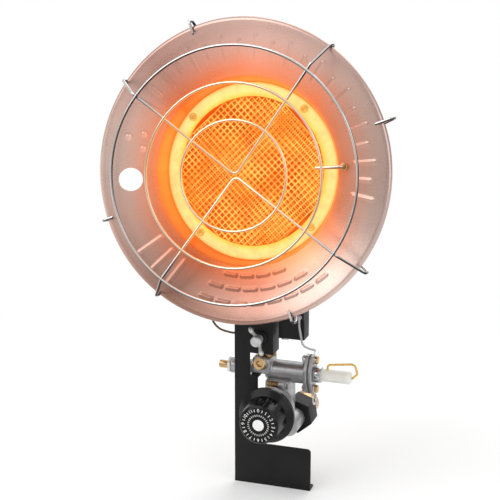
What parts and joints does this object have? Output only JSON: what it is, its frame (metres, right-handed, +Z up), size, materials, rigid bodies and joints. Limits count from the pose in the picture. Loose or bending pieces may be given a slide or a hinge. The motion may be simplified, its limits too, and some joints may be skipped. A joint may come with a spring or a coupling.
{
  "type": "portable propane heater",
  "caption": "Round dish radiant gas heater on a folded bracket, with a guard, push-button safety valve, regulator knob and a hand wheel that screws onto a gas cylinder.",
  "frame": {"origin": "on the axis of the inlet thread, at the middle of the threaded length", "axes": "+Y along the inlet thread, out of the back towards the gas cylinder's valve; +Z up; +X to the right seen from the front; the dish faces -Y"},
  "size_m": [0.2406, 0.1342, 0.3933],
  "materials": {
    "dish_steel": "polished aluminised steel with a warm copper tone",
    "burner_steel": "heat-toned yellow plated steel, satin",
    "screen": "glowing woven heat-resisting wire screen",
    "wire_steel": "bright plated steel wire",
    "plated_steel": "zinc-plated steel, satin",
    "black_steel": "black powder coat, fine texture",
    "black_plastic": "moulded black plastic, fine grain",
    "white_plastic": "translucent white nylon",
    "cast_zinc": "die-cast zinc, matt",
    "brass": "machined brass",
    "bright_wire": "yellow chromate on spring steel wire",
    "lead_brown": "brown glass-braid sleeve",
    "lead_grey": "grey silicone sleeve",
    "seal": "black nitrile rubber",
    "gasket": "dark fibre gasket"
  },
  "bodies": {
    "heater": {"arm_screws": "plated_steel", "bleed_plug": "brass", "bracket": "black_steel", "burner_cup": "burner_steel", "button_collar": "wire_steel", "clamp_bolt": "plated_steel", "clamp_washer": "plated_steel", "diaphragm": "seal", "flame_sensor": "wire_steel", "flange_nuts": "plated_steel", "flange_rivets": "burner_steel", "flange_screws": "brass", "frame_wire_flat": "wire_steel", "frame_wire_steep": "wire_steel", "guard_ring_large": "wire_steel", "guard_ring_middle": "wire_steel", "guard_ring_small": "wire_steel", "guard_wire_lower": "wire_steel", "guard_wire_upper": "wire_steel", "head_arm": "black_steel", "injector_nut": "brass", "inlet_stem": "brass", "lead_bead": "lead_grey", "loop_tag": "plated_steel", "magnet_connector": "brass", "magnet_nut": "plated_steel", "magnet_unit": "brass", "mixing_tube": "plated_steel", "neck_washer": "plated_steel", "port_plug": "brass", "reflector": "dish_steel", "regulator_bonnet": "cast_zinc", "regulator_case": "cast_zinc", "regulator_spring": "plated_steel", "return_lead": "lead_grey", "return_tag": "plated_steel", "screen_back": "screen", "screen_front": "screen", "sensor_bush": "brass", "sensor_lead": "lead_brown", "shelf_screw": "plated_steel", "soft_nose": "seal", "spreader_plate": "plated_steel", "switch_rivets": "plated_steel", "switch_terminal": "plated_steel", "tilt_switch": "black_plastic", "valve_body": "cast_zinc", "valve_cover": "cast_zinc", "valve_gasket": "gasket"},
    "knob": {"knob": "black_plastic", "knob_spindle": "plated_steel", "knob_cap": "white_plastic"},
    "spring_cup": {"spring_cup": "plated_steel"},
    "button": {"push_button": "white_plastic", "plunger": "brass", "return_spring": "plated_steel", "handle_wire": "bright_wire"},
    "hand_wheel": {"hand_wheel": "black_plastic", "inlet_nut": "brass"},
    "wing_nut": {"wing_nut": "plated_steel"}
  },
  "joints": [
    {"name": "knob_turn", "type": "hinge", "parent": "heater", "child": "knob", "pos_m": [-0.0104, -0.085, 0.0177], "axis": [0, -1, 0], "range_deg": [0, 270]},
    {"name": "spring_cup_slide", "type": "slide", "parent": "heater", "child": "spring_cup", "axis": [0, 1, 0], "range_m": [0, 0.002]},
    {"name": "button_push", "type": "slide", "parent": "heater", "child": "button", "axis": [-1, 0, 0], "range_m": [0, 0.004], "stiffness_N_per_m": 600, "springref_m": -0.006},
    {"name": "hand_wheel_turn", "type": "hinge", "parent": "heater", "child": "hand_wheel", "pos_m": [0, 0, 0], "axis": [0, 1, 0], "continuous": true},
    {"name": "wing_nut_turn", "type": "hinge", "parent": "heater", "child": "wing_nut", "pos_m": [-0.0243, -0.0522, 0.0751], "axis": [0, -1, 0], "range_deg": [0, 630]}
  ],
  "couplings": [
    {"joint": "spring_cup_slide", "follows": "knob_turn", "m_per_rad": 0.000424}
  ]
}
